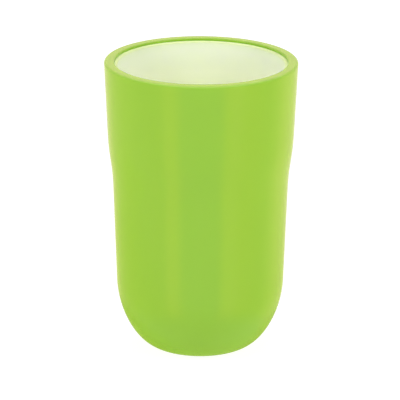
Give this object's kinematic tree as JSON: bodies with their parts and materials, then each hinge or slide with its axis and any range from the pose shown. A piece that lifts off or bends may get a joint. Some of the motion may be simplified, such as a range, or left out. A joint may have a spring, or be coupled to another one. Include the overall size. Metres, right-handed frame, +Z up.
{
  "type": "bathroom tumbler",
  "caption": "Free-standing double-walled bathroom tumbler: a gloss shell with a broad rim, a soft shoulder and a rounded bottom carries a translucent inner cup for rinsing or toothbrushes.",
  "frame": {"origin": "on the surface that the tumbler stands on, under the middle of its base", "axes": "+Z up along the axis of the tumbler; X and Y are level, and the form is the same all round"},
  "size_m": [0.075, 0.075, 0.1154],
  "materials": {
    "shell_gloss_polystyrene": "high gloss lime green moulding, dyed through",
    "cup_translucent_polypropylene": "satin natural moulding, slightly translucent",
    "soft_silicone": "matte, slightly translucent"
  },
  "bodies": {
    "root": {"outer_shell": "shell_gloss_polystyrene", "inner_cup": "cup_translucent_polypropylene", "collar_gasket": "soft_silicone", "foot_ring": "soft_silicone"}
  },
  "joints": []
}
